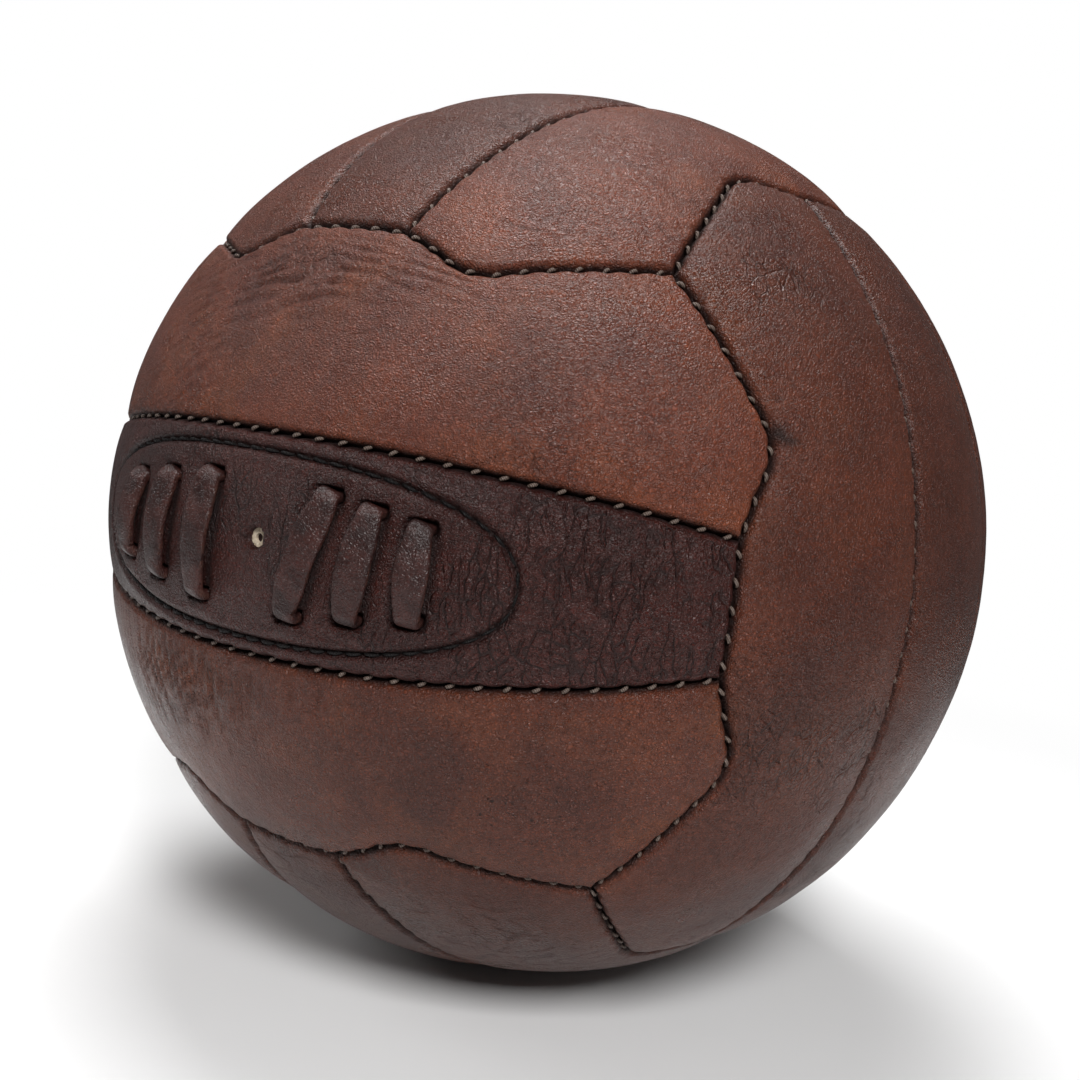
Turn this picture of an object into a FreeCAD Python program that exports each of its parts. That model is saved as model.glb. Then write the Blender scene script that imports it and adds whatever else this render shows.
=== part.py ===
"""A laced leather ball, sewn from eighteen panels round an inflated bladder.

The cover is six faces of three strips. On each face the strips run at right angles to those
of the faces they end on, so the whole cover is made of two panel shapes, a middle and a side
panel, turned to every face. Every panel's edge is folded inwards into a flange, and
neighbouring flanges are sewn together inside the seam. The front middle panel carries two
leather laces, the valve hole and an oval line of stitches that holds a backing patch.

Frame: origin at the ball's centre, +Z up, the laced panel faces -Y. Millimetres and degrees.
"""

import FreeCAD
import Part

import math
import os

from FreeCAD import Vector

# ---- the ball, from the outside in
BALL_R = 110.0
LEATHER = 2.6
LINING = 0.7
FLANGE_DEPTH = 4.8
FLANGE_THICK = 1.6
LEATHER_IN_R = BALL_R - LEATHER
LINING_IN_R = LEATHER_IN_R - LINING
FLANGE_IN_R = LEATHER_IN_R - FLANGE_DEPTH
BLADDER_R = FLANGE_IN_R - 0.2
BLADDER_THICK = 0.9

# ---- the rounded shoulder of a panel's edge, as (distance from the centre, inset from the seam line).
# Its last slope runs on past the ball's surface, so that the surface cuts it cleanly.
SEAM_HALF_GAP = 0.12
SHOULDER = [(BALL_R - 3.1, SEAM_HALF_GAP), (BALL_R - 0.8, 0.9), (BALL_R + 2.0, 5.0)]
LINING_INSET = 2.6

# ---- the seams, on a ball of six faces
# A face edge runs from one three-panel corner to the next. t is the angle along it from its
# middle, and the shift is how far it bows out past the 45 degree line.
CORNER_T = math.degrees(math.asin(1 / math.sqrt(3)))
MIDDLE_END_T = 7.2
MIDDLE_END_SHIFT = 8.0
SIDE_END_SHIFT = [
    (MIDDLE_END_T, MIDDLE_END_SHIFT), (11.5, 9.5), (15.5, 11.1), (18.5, 10.9),
    (22.0, 8.9), (27.0, 5.9), (31.0, 3.3), (CORNER_T, 0.0),
]
# The middle strip's half width, in degrees of latitude, against the angle along the strip.
STRIP_HALF_WIDTH = [(0.0, 11.9), (10.0, 11.8), (20.0, 11.3), (30.0, 10.4), (40.0, 9.3), (53.0, 7.15)]

# ---- hand sewing through two folded edges: stitches across, and the thread's runs inside
STITCH_PITCH = 5.6
THREAD_R = 0.33
NEEDLE_HOLE_R = 0.38
THREAD_CENTRE_R = LEATHER_IN_R - 1.0
THREAD_INSET = SEAM_HALF_GAP + FLANGE_THICK + THREAD_R + 0.03

# ---- laces: two flat thongs, three bars each. Bars are (angle along the strip, half length).
LACE_WIDTH = 6.6
LACE_THICK = 2.0
LACE_BEND = 1.8
LACE_TAIL = 7.0
LACE_CLEARANCE = 0.1
LACE_BARS = {
    "lace_left": [(-20.8, 4.6), (-13.2, 5.6), (-5.6, 6.5)],
    "lace_right": [(8.9, 6.5), (14.9, 5.6), (20.8, 4.7)],
}
LACE_OUT_R = BALL_R + LACE_CLEARANCE + LACE_THICK / 2
LACE_IN_R = LINING_IN_R - LACE_CLEARANCE - LACE_THICK / 2
SLOT_WIDTH = 7.4
SLOT_INNER = 1.6
SLOT_OUTER = 2.2

# ---- the backing patch and its oval line of lock stitches (half sizes in degrees)
OVAL_LONG, OVAL_HIGH = 31.0, 9.9
OVAL_POWER = 2.3
PATCH_MARGIN = 0.6
PATCH_POCKET = 1.2
PATCH_THICK = 1.1
PATCH_IN_R = BLADDER_R + 1.0
GROOVE_HALF, GROOVE_DEPTH = 0.6, 1.0
OVAL_PITCH = 4.0
OVAL_THREAD_R = 0.42
OVAL_LINK_R = 0.3
OVAL_UPPER_R = BALL_R - GROOVE_DEPTH + OVAL_THREAD_R + 0.05
OVAL_LOWER_R = PATCH_IN_R - OVAL_THREAD_R - 0.05

# ---- the valve, on a radial axis just beside the middle of the laced panel
VALVE_ALONG, VALVE_UP = 2.2, 0.8
VALVE_FLANGE_DEG = 6.6
VALVE_FLANGE_THICK = 0.9
VALVE_NECK_R = 4.5
VALVE_CORE_R = 2.9
CORE_HEAD_R = 1.95
NEEDLE_R = 0.9
LEATHER_HOLE_R = 2.1
VALVE_INNER = 94.0
CORE_INNER = 95.5
NEEDLE_INNER = 97.5
CORE_SHOULDER = 106.6
CORE_TOP = 108.2
NECK_TOP = LEATHER_IN_R - 0.2
NECK_HOLE_CLEARANCE = 0.3

FAR = 1.6 * BALL_R
ROUND_CORNERS = 2  # FreeCAD's sweep transition that rounds a route's corners
# Each face: normal, the way its strips run, the way they are stacked, and the names of the
# side panels on the plus and minus side of that stack.
FACES = {
    "front": ((0, -1, 0), (1, 0, 0), (0, 0, 1), "upper", "lower"),
    "back": ((0, 1, 0), (-1, 0, 0), (0, 0, 1), "upper", "lower"),
    "right": ((1, 0, 0), (0, 0, 1), (0, -1, 0), "front", "rear"),
    "left": ((-1, 0, 0), (0, 0, 1), (0, 1, 0), "rear", "front"),
    "top": ((0, 0, 1), (0, 1, 0), (-1, 0, 0), "left", "right"),
    "bottom": ((0, 0, -1), (0, 1, 0), (1, 0, 0), "right", "left"),
}


def smooth(table):
    """A smooth function through (x, y) pairs."""
    curve = Part.BSplineCurve()
    curve.interpolate(Points=[Vector(x, y, 0) for x, y in table], Parameters=[x for x, _ in table])
    return lambda x: curve.value(x).y


side_end_shift = smooth(SIDE_END_SHIFT)
strip_half_width = smooth([(-x, y) for x, y in STRIP_HALF_WIDTH[:0:-1]] + STRIP_HALF_WIDTH)


def steps(start, end, count):
    return [start + (end - start) * i / count for i in range(count + 1)]


def on_front(along, up):
    """The unit vector at an angle along the front's strips and a latitude above its middle."""
    a, b = math.radians(along), math.radians(up)
    return Vector(math.sin(a) * math.cos(b), -math.cos(a) * math.cos(b), math.sin(b))


def on_edge(t):
    """A point of the front's right edge, on the unit ball."""
    shift = MIDDLE_END_SHIFT if abs(t) <= MIDDLE_END_T else side_end_shift(abs(t))
    a, b = math.radians(45 + shift), math.radians(t)
    return Vector(math.cos(b) * math.sin(a), -math.cos(b) * math.cos(a), math.sin(b))


def joint_along():
    """How far along the strip its seam meets the face's edge, in degrees."""
    return 45 + MIDDLE_END_SHIFT


def turn(name, sign=1):
    """The placement that carries a front panel to a face. A sign of -1 turns it half round first."""
    normal, along, across, _, _ = FACES[name]
    x, z = Vector(*along) * sign, Vector(*across) * sign
    y = Vector(*normal) * -1
    return FreeCAD.Placement(
        FreeCAD.Matrix(x.x, y.x, z.x, 0, x.y, y.y, z.y, 0, x.z, y.z, z.z, 0, 0, 0, 0, 1)
    )


def moved(shape, placement):
    copy = shape.copy()
    copy.Placement = placement.multiply(copy.Placement)
    return copy


# ---- outlines: lists of sides, each a list of unit vectors, counter-clockwise seen from outside


def strip_seam():
    """The seam between the front's middle and upper panels, left to right."""
    end = joint_along()
    return [on_front(u, strip_half_width(u)) for u in steps(-end, end, 20)]


def middle_outline():
    seam = strip_seam()
    end = [on_edge(t) for t in steps(MIDDLE_END_T, -MIDDLE_END_T, 4)]
    end[0] = seam[-1]
    end[-1] = Vector(seam[-1].x, seam[-1].y, -seam[-1].z)
    half_turn = [[Vector(-p.x, p.y, -p.z) for p in side] for side in (seam, end)]
    return [list(reversed(side)) for side in (half_turn[1], half_turn[0], end, seam)]


def side_outline():
    """The front's upper panel: its seam, its two bowed ends and the edge it shares with the top."""
    seam = strip_seam()
    right = [on_edge(t) for t in steps(MIDDLE_END_T, CORNER_T, 12)]
    right[0] = seam[-1]
    left = [Vector(-p.x, p.y, p.z) for p in reversed(right)]
    # The top's strips end on this edge, so it is the front's right edge turned round a corner.
    outer = [
        [Vector(p.z, -p.x, -p.y) for p in map(on_edge, steps(a, b, n))]
        for a, b, n in (
            (CORNER_T, MIDDLE_END_T, 12), (MIDDLE_END_T, -MIDDLE_END_T, 4), (-MIDDLE_END_T, -CORNER_T, 12),
        )
    ]
    return [seam, right, *outer, left]


def oval_outline(grow=0.0):
    """A closed oval round the laces, in two sides. grow is in degrees."""
    def point(angle):
        c, s = math.cos(angle), math.sin(angle)
        along = math.copysign(abs(c) ** (2 / OVAL_POWER), c) * (OVAL_LONG + grow)
        up = math.copysign(abs(s) ** (2 / OVAL_POWER), s) * (OVAL_HIGH + grow)
        return on_front(along, up)
    return [[point(a) for a in steps(b, b + math.pi, 36)] for b in (0.0, math.pi)]


def inset(outline, angle):
    """The outline moved inwards along the ball by an angle, mitred at its corners."""
    loop = [p for side in outline for p in side[:-1]]
    n = len(loop)
    normals = []
    for i in range(n):
        step = loop[(i + 1) % n] - loop[i]
        normals.append((loop[i] + loop[(i + 1) % n]).cross(step).normalize())
    moved_loop = []
    for i in range(n):
        before, after = normals[i - 1], normals[i]
        mitre = (before + after) * (math.tan(math.radians(angle)) / (1 + before.dot(after)))
        moved_loop.append((loop[i] + mitre).normalize())
    result, at = [], 0
    for side in outline:
        result.append([moved_loop[(at + k) % n] for k in range(len(side))])
        at += len(side) - 1
    return result


def ring(outline, radius):
    edges = []
    for side in outline:
        curve = Part.BSplineCurve()
        curve.interpolate(Points=[p * radius for p in side])
        edges.append(curve.toShape())
    return Part.Wire(edges)


def wedge(outline, rings):
    """The solid from the ball's centre out through the outline. rings are (radius, inset in mm)."""
    wires = [ring(inset(outline, math.degrees(mm / radius)), radius) for radius, mm in rings]
    middle = Vector(0, 0, 0)
    for side in outline:
        for p in side:
            middle += p
    tip = Part.Vertex(middle.normalize() * FAR)
    return Part.makeLoft([Part.Vertex(0, 0, 0), *wires, tip], True, True)


def straight_wedge(outline, inset_mm=0.0):
    return wedge(outline, [(r, inset_mm) for r in (FLANGE_IN_R - 10, BALL_R + 5)])


def shell(outer, inner):
    return Part.makeSphere(outer).cut(Part.makeSphere(inner))


def shell_patch(body, outer, inner):
    """The part of a wedge that lies between two spheres."""
    return body.common(Part.makeSphere(outer)).cut(Part.makeSphere(inner))


def only_solid(shape, name):
    """The one solid of a boolean's result."""
    assert len(shape.Solids) == 1 and shape.isValid(), f"{name}: {len(shape.Solids)} solids"
    return shape.Solids[0]


# ---- sewing


def cylinder(radius, start, end):
    return Part.makeCylinder(radius, start.distanceToPoint(end), start, end - start)


def pipe(radius, points):
    """A round thread through points."""
    curve = Part.BSplineCurve()
    curve.interpolate(Points=points)
    edge = curve.toShape()
    start, along = curve.value(curve.FirstParameter), Vector(*curve.tangent(curve.FirstParameter)[0])
    profile = Part.Wire(Part.makeCircle(radius, start, along))
    return Part.Wire(edge).makePipeShell([profile], True, True)


def evenly(points, count):
    """Points and travel directions at the middle of count equal lengths of a line."""
    lengths = [0.0]
    for p, q in zip(points, points[1:]):
        lengths.append(lengths[-1] + p.distanceToPoint(q))
    found = []
    for k in range(count):
        at = (k + 0.5) * lengths[-1] / count
        i = max(j for j, length in enumerate(lengths[:-1]) if length <= at)
        share = (at - lengths[i]) / (lengths[i + 1] - lengths[i])
        point = points[i] * (1 - share) + points[i + 1] * share
        found.append((point.normalize(), (points[i + 1] - points[i]).normalize()))
    return found


def length_mm(points):
    return sum(p.distanceToPoint(q) for p, q in zip(points, points[1:])) * BALL_R


def stitch_ends(points):
    """Where each stitch of a seam meets the thread on the two inner sides of the flanges."""
    ends = []
    for centre, along in evenly(points, round(length_mm(points) / STITCH_PITCH)):
        across = centre.cross(along).normalize() * THREAD_INSET
        middle = centre * THREAD_CENTRE_R
        ends.append((middle - across, middle + across))
    return ends


def needle_holes(points):
    return [cylinder(NEEDLE_HOLE_R, a, b) for a, b in stitch_ends(points)]


def seam_thread(points):
    """A running stitch: the thread crosses the seam at each hole and runs inside one flange between."""
    route = []
    for k, (left, right) in enumerate(stitch_ends(points)):
        route += [left, right] if k % 2 == 0 else [right, left]
    profile = Part.Wire(Part.makeCircle(THREAD_R, route[0], route[1] - route[0]))
    return Part.Wire(Part.makePolygon(route).Edges).makePipeShell([profile], True, False, ROUND_CORNERS)


def end_seams():
    """The front's right edge, in the three lengths that its three strips are sewn to."""
    ts = (-CORNER_T, -MIDDLE_END_T, MIDDLE_END_T, CORNER_T)
    return [[on_edge(t) for t in steps(a, b, 24)] for a, b in zip(ts, ts[1:])]


def both_ways(shapes, face):
    """Front shapes carried to a face, with a second set turned half round."""
    return [moved(shape, turn(face, sign)) for sign in (1, -1) for shape in shapes]


def pierced(panel, outline, holes):
    """The panel with the needle holes that lie on its outline."""
    loop = [p * THREAD_CENTRE_R for side in outline for p in side]
    near = [h for h in holes if min(h.CenterOfMass.distanceToPoint(p) for p in loop) < STITCH_PITCH / 2]
    return panel.cut(near)


# ---- cover and lining


def panel(outline, holes, name):
    """A leather panel: its skin, with a folded flange all round."""
    body = shell_patch(wedge(outline, [(FLANGE_IN_R - 5, SEAM_HALF_GAP), *SHOULDER]), BALL_R, FLANGE_IN_R)
    pocket = straight_wedge(outline, FLANGE_THICK + SEAM_HALF_GAP)
    body = body.cut(pocket.common(Part.makeSphere(LEATHER_IN_R)))
    return only_solid(pierced(body, outline, holes), name)


def lining(outline, name):
    return only_solid(shell_patch(straight_wedge(outline, LINING_INSET), LEATHER_IN_R, LINING_IN_R), name)


# ---- laces


def lace_path(bars):
    """The lace's centreline as (angle along the strip, latitude, radius), from tail to tail."""
    bend_out, bend_in = (math.degrees(LACE_BEND / r) for r in (LACE_OUT_R, LACE_IN_R))
    path = []

    def quarter(along, up, radius, start, end, bend):
        for a in steps(start, end, 6):
            c, s = math.cos(math.radians(a)), math.sin(math.radians(a))
            path.append((along, up + bend * c, radius + LACE_BEND * s))

    def under(from_along, to_along, from_up, to_up):
        for share in steps(0, 1, 14)[1:-1]:
            eased = share * share * (3 - 2 * share)
            path.append((from_along + (to_along - from_along) * eased,
                         from_up + (to_up - from_up) * share, LACE_IN_R))

    tail = math.degrees(LACE_TAIL / LACE_IN_R)
    first, last = bars[0], bars[-1]
    path.append((first[0], first[1] - bend_in - tail, LACE_IN_R))
    for i, (along, half) in enumerate(bars):
        quarter(along, half - bend_in, LACE_IN_R + LACE_BEND, -90, 0, bend_in)
        quarter(along, half - bend_out, LACE_OUT_R - LACE_BEND, 0, 90, bend_out)
        for up in steps(half - bend_out, bend_out - half, 12)[1:-1]:
            path.append((along, up, LACE_OUT_R))
        quarter(along, bend_out - half, LACE_OUT_R - LACE_BEND, 90, 180, bend_out)
        quarter(along, bend_in - half, LACE_IN_R + LACE_BEND, 180, 270, bend_in)
        if i + 1 < len(bars):
            next_along, next_half = bars[i + 1]
            under(along, next_along, bend_in - half, next_half - bend_in)
    path.append((last[0], bend_in - last[1] + tail, LACE_IN_R))
    return path


def lace(bars, name):
    """A flat thong with chamfered corners, lofted along its path."""
    path = lace_path(bars)
    points = [on_front(along, up) * radius for along, up, radius in path]
    corner = 0.45
    half_w, half_t = LACE_WIDTH / 2, LACE_THICK / 2
    outline = [
        (half_w, half_t - corner), (half_w - corner, half_t), (corner - half_w, half_t), (-half_w, half_t - corner),
        (-half_w, corner - half_t), (corner - half_w, -half_t), (half_w - corner, -half_t), (half_w, corner - half_t),
    ]
    wires = []
    for i, p in enumerate(points):
        ahead = points[min(i + 1, len(points) - 1)] - points[max(i - 1, 0)]
        angle = math.radians(path[i][0])
        wide = Vector(math.cos(angle), math.sin(angle), 0)
        thick = wide.cross(ahead).normalize()
        section = [p + wide * w + thick * t for w, t in outline]
        wires.append(Part.makePolygon([*section, section[0]]))
    return only_solid(Part.makeLoft(wires, True, True), name)


def lace_slots():
    """The twelve slots that the laces go through, as radial tools."""
    tools = []
    depth = 20.0
    for bars in LACE_BARS.values():
        for along, half in bars:
            for side in (1, -1):
                tool = Part.makeBox(SLOT_WIDTH, SLOT_INNER + SLOT_OUTER, depth)
                upright = [e for e in tool.Edges if abs(e.tangentAt(0).z) > 0.9]
                tool = tool.makeFillet(1.2, upright)
                tool.translate(Vector(-SLOT_WIDTH / 2, -SLOT_INNER, -depth / 2))
                outward = on_front(along, half * side)
                wide = Vector(math.cos(math.radians(along)), math.sin(math.radians(along)), 0) * side
                up = outward.cross(wide)
                at = outward * (LEATHER_IN_R + LEATHER / 2)
                place = FreeCAD.Matrix(
                    wide.x, up.x, outward.x, at.x, wide.y, up.y, outward.y, at.y,
                    wide.z, up.z, outward.z, at.z, 0, 0, 0, 1,
                )
                tools.append(moved(tool, FreeCAD.Placement(place)))
    return tools


# ---- patch and its stitches


def patch_groove():
    """The ring cut from the laced panel for the oval stitches to lie in."""
    grow = math.degrees(GROOVE_HALF / BALL_R)
    outside = shell_patch(straight_wedge(oval_outline(grow)), BALL_R + 2, BALL_R - GROOVE_DEPTH)
    return outside.cut(straight_wedge(oval_outline(-grow)))


def backing_patch():
    """A shallow leather dish: its floor covers the laces' back runs, its rim is sewn to the panel."""
    whole = shell_patch(straight_wedge(oval_outline(PATCH_MARGIN)), LINING_IN_R, PATCH_IN_R)
    pocket = straight_wedge(oval_outline(-PATCH_POCKET)).cut(Part.makeSphere(PATCH_IN_R + PATCH_THICK))
    return whole.cut(pocket).cut(neck_hole())


def oval_stitches():
    """Unit vectors of the lock stitches' holes round the oval."""
    loop = [p for side in oval_outline() for p in side[:-1]]
    loop.append(loop[0])
    return [point for point, _ in evenly(loop, round(length_mm(loop) / OVAL_PITCH))]


def oval_needle_holes():
    return [cylinder(NEEDLE_HOLE_R, p * (PATCH_IN_R - 1), p * BALL_R) for p in oval_stitches()]


def patch_thread():
    """Lock stitching: a thread in the oval groove, one under the patch, and links between them."""
    points = oval_stitches()
    half = len(points) // 2
    runs = [
        pipe(OVAL_THREAD_R, [p * r for p in part])
        for r in (OVAL_UPPER_R, OVAL_LOWER_R)
        for part in (points[:half + 1], [*points[half:], points[0]])
    ]
    links = [cylinder(OVAL_LINK_R, p * OVAL_LOWER_R, p * OVAL_UPPER_R) for p in points]
    return only_solid(runs[0].fuse([*runs[1:], *links]), "patch thread")


# ---- bladder and valve


def radial(radius, inner_r, outer_r):
    """A cylinder on the valve's axis between two distances from the ball's centre."""
    axis = on_front(VALVE_ALONG, VALVE_UP)
    return Part.makeCylinder(radius, outer_r - inner_r, axis * inner_r, axis)


def neck_hole():
    """Room for the valve's neck through the patch and the lining."""
    return radial(VALVE_NECK_R + NECK_HOLE_CLEARANCE, BLADDER_R - 5, LEATHER_IN_R)


def bladder():
    hole = radial(VALVE_NECK_R, VALVE_INNER, BALL_R)
    return only_solid(shell(BLADDER_R, BLADDER_R - BLADDER_THICK).cut(hole), "bladder")


def valve_body():
    """A rubber neck through the bladder's wall, with a flange bonded to the wall's outside."""
    axis = on_front(VALVE_ALONG, VALVE_UP)
    cone = Part.makeCone(0, FAR * math.tan(math.radians(VALVE_FLANGE_DEG)), FAR, Vector(0, 0, 0), axis)
    flange = shell(BLADDER_R + VALVE_FLANGE_THICK, BLADDER_R).common(cone)
    neck = radial(VALVE_NECK_R, VALVE_INNER, NECK_TOP)
    bore = radial(VALVE_CORE_R, CORE_INNER, NECK_TOP + 1)
    return only_solid(neck.fuse(flange).cut(bore), "valve_body")


def valve_core():
    """The pale self-sealing plug, with its needle hole and a head that shows in the leather."""
    plug = radial(VALVE_CORE_R, CORE_INNER, CORE_SHOULDER)
    head = radial(CORE_HEAD_R, CORE_SHOULDER - 1, CORE_TOP)
    needle = radial(NEEDLE_R, NEEDLE_INNER, CORE_TOP + 1)
    return only_solid(plug.fuse(head).cut(needle), "valve_core")


def write(node, shape):
    shape.exportStep(os.path.join("parts", node + ".step"))


def write_cover():
    seams = [strip_seam(), *end_seams()]
    threads = [seam_thread(seam) for seam in seams]
    front_holes = [hole for seam in seams for hole in needle_holes(seam)]
    holes = [hole for face in FACES for hole in both_ways(front_holes, face)]
    middle = panel(middle_outline(), holes, "middle panel")
    side = panel(side_outline(), holes, "side panel")
    middle_lining = lining(middle_outline(), "middle lining")
    side_lining = lining(side_outline(), "side lining")

    oval_holes = oval_needle_holes()
    openings = [*lace_slots(), *oval_holes]
    valve_hole = radial(LEATHER_HOLE_R, LEATHER_IN_R - 1, BALL_R + 1)
    laced = only_solid(middle.cut([*openings, valve_hole, patch_groove()]), "laced panel")
    laced_lining = only_solid(middle_lining.cut([*openings, neck_hole()]), "laced lining")
    write("lace_backing_patch", only_solid(backing_patch().cut(oval_holes), "patch"))

    for face, (_, _, _, plus, minus) in FACES.items():
        front = face == "front"
        write(f"{face}_middle_panel", moved(laced if front else middle, turn(face)))
        write(f"{face}_middle_lining", moved(laced_lining if front else middle_lining, turn(face)))
        for name, sign in ((plus, 1), (minus, -1)):
            write(f"{face}_{name}_panel", moved(side, turn(face, sign)))
            write(f"{face}_{name}_lining", moved(side_lining, turn(face, sign)))
        write(f"{face}_strip_seam_thread", Part.makeCompound(both_ways(threads[:1], face)))
        write(f"{face}_end_seam_thread", Part.makeCompound(both_ways(threads[1:], face)))


def main():
    os.makedirs("parts", exist_ok=True)
    write_cover()
    for name, bars in LACE_BARS.items():
        write(name, lace(bars, name))
    write("patch_thread", patch_thread())
    write("bladder", bladder())
    write("valve_body", valve_body())
    write("valve_core", valve_core())
    print("wrote", len(os.listdir("parts")), "parts")


main()
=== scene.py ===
"""The looks of the laced leather ball: eighteen panels of worn pull-up leather, their hand sewing,
two leather laces, an oval of lock stitches and the valve, on a plain pale floor.

Metres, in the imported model's frame: +Z up, the laced panel faces -Y. Lengths in mm and angles
in degrees are turned into metres and radians where they are used.
"""
import math

import bpy
import numpy as np
from mathutils import Matrix, Vector


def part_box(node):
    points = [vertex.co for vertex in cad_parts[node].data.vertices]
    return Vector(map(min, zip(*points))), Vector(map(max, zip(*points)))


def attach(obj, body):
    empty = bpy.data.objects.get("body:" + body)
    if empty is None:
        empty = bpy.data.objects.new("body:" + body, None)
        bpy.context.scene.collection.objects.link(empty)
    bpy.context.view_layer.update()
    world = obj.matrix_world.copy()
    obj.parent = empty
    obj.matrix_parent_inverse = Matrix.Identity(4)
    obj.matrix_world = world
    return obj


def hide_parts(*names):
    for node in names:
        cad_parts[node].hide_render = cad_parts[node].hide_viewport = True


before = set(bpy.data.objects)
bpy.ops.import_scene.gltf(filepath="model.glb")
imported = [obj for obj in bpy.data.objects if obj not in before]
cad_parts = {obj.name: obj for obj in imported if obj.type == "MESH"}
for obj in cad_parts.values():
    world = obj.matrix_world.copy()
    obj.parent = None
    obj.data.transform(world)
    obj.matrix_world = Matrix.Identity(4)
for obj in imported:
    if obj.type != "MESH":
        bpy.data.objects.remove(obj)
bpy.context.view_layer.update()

MM = 0.001
BALL_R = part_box("top_middle_panel")[1][2] / MM
FLOOR_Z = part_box("bottom_middle_panel")[0][2]
BODY = "root"

# ---- the seams, as in the CAD
CORNER_T = math.degrees(math.asin(1 / math.sqrt(3)))
MIDDLE_END_T = 7.2
MIDDLE_END_SHIFT = 8.0
SIDE_END_SHIFT = [
    (MIDDLE_END_T, MIDDLE_END_SHIFT), (11.5, 9.5), (15.5, 11.1), (18.5, 10.9),
    (22.0, 8.9), (27.0, 5.9), (31.0, 3.3), (CORNER_T, 0.0),
]
STRIP_HALF_WIDTH = [
    (0.0, 11.9), (10.0, 11.8), (20.0, 11.3), (30.0, 10.4), (40.0, 9.3), (53.0, 7.15),
]
STITCH_PITCH = 5.6
OVAL_LONG, OVAL_HIGH, OVAL_POWER, OVAL_PITCH = 31.0, 9.9, 2.3, 4.0
LACE_BARS = {
    "lace_left": [(-20.8, 4.6), (-13.2, 5.6), (-5.6, 6.5)],
    "lace_right": [(8.9, 6.5), (14.9, 5.6), (20.8, 4.7)],
}
VALVE_ALONG, VALVE_UP = 2.2, 0.8
FACES = {
    "front": ((0, -1, 0), (1, 0, 0), (0, 0, 1), "upper", "lower"),
    "back": ((0, 1, 0), (-1, 0, 0), (0, 0, 1), "upper", "lower"),
    "right": ((1, 0, 0), (0, 0, 1), (0, -1, 0), "front", "rear"),
    "left": ((-1, 0, 0), (0, 0, 1), (0, 1, 0), "rear", "front"),
    "top": ((0, 0, 1), (0, 1, 0), (-1, 0, 0), "left", "right"),
    "bottom": ((0, 0, -1), (0, 1, 0), (1, 0, 0), "right", "left"),
}

# ---- the leather's edge: how it rolls down into the seam
ROLL_WIDTH, ROLL_DEPTH = 1.75, 3.0
PILLOW_DEPTH, PILLOW_REACH = 1.05, 5.5
FLANGE_R, SKIN_IN_R = 103.6, 107.4
DEEPEST_CUT = 2.5  # the lining lies just below this


# ---- vector helpers


def unit(p):
    return p / np.linalg.norm(p, axis=-1, keepdims=True)


def smooth(table):
    """A cubic through (x, y) pairs, with the slopes of neighbouring pairs."""
    xs, ys = np.array(table, float).T
    slopes = np.gradient(ys, xs)

    def value(x):
        x = np.clip(x, xs[0], xs[-1])
        i = np.clip(np.searchsorted(xs, x) - 1, 0, len(xs) - 2)
        h = xs[i + 1] - xs[i]
        t = (x - xs[i]) / h
        return (
            (2 * t**3 - 3 * t**2 + 1) * ys[i] + (t**3 - 2 * t**2 + t) * h * slopes[i]
            + (3 * t**2 - 2 * t**3) * ys[i + 1] + (t**3 - t**2) * h * slopes[i + 1]
        )

    return value


side_end_shift = smooth(SIDE_END_SHIFT)
strip_half_width = smooth([(-x, y) for x, y in STRIP_HALF_WIDTH[:0:-1]] + STRIP_HALF_WIDTH)


def ramp(x, low, high):
    t = np.clip((x - low) / (high - low), 0, 1)
    return t * t * (3 - 2 * t)


def bump_at(x, centre, width):
    return np.exp(-(((x - centre) / width) ** 2))


rng = np.random.default_rng(1897)
LATTICE = 256
TABLE = rng.permutation(LATTICE)
GRADIENTS = unit(rng.normal(size=(LATTICE, 3)))


def noise(p, seed=0):
    """Smooth 3-D noise of about -0.7 to 0.7, with cells one unit across."""
    p = p + seed * 17.31
    base = np.floor(p).astype(int)
    f = p - base
    w = f * f * f * (f * (f * 6 - 15) + 10)
    total = 0
    for corner in np.ndindex(2, 2, 2):
        c = base + corner
        key = TABLE[(TABLE[(TABLE[c[:, 0] % LATTICE] + c[:, 1]) % LATTICE] + c[:, 2]) % LATTICE]
        weight = np.prod(np.where(corner, w, 1 - w), axis=1)
        total = total + weight * np.sum(GRADIENTS[key] * (f - corner), axis=1)
    return total


def layers(p, seed, octaves=3, fall=0.5):
    return sum(fall**k * noise(p * 2**k, seed + k) for k in range(octaves))


# ---- seams


def on_front(along, up):
    a, b = np.radians(along), np.radians(up)
    return np.stack([np.sin(a) * np.cos(b), -np.cos(a) * np.cos(b), np.sin(b) + 0 * a], -1)


def on_edge(t):
    """A point of the front's right edge."""
    t = np.asarray(t, float)
    shift = np.where(abs(t) <= MIDDLE_END_T, MIDDLE_END_SHIFT, side_end_shift(abs(t)))
    a, b = np.radians(45 + shift), np.radians(t)
    return np.stack([np.cos(b) * np.sin(a), -np.cos(b) * np.cos(a), np.sin(b)], -1)


def strip_seam(n=320):
    end = 45 + MIDDLE_END_SHIFT
    u = np.linspace(-end, end, n + 1)
    return on_front(u, strip_half_width(u))


def end_seams(n=100):
    """The front's right edge, upwards, in the lengths sewn to its three strips."""
    ts = (-CORNER_T, -MIDDLE_END_T, MIDDLE_END_T, CORNER_T)
    return [on_edge(np.linspace(a, b, n + 1)) for a, b in zip(ts, ts[1:])]


def outlines():
    """Each panel shape's sides (bottom, right, top, left), each a list of seam runs."""
    seam = strip_seam()
    lower, middle, upper = end_seams()
    flip = np.array([-1, 1, 1])
    down = np.array([1, 1, -1])
    # the top's strips end on the front's upper edge: the right edge's runs turned round a corner
    top = [np.stack([p[:, 2], -p[:, 0], -p[:, 1]], -1) for p in (lower, middle, upper)]
    return {
        "middle": ([seam * down], [middle], [seam], [middle * flip]),
        "side": ([seam], [upper], top, [upper * flip]),
    }


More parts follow.
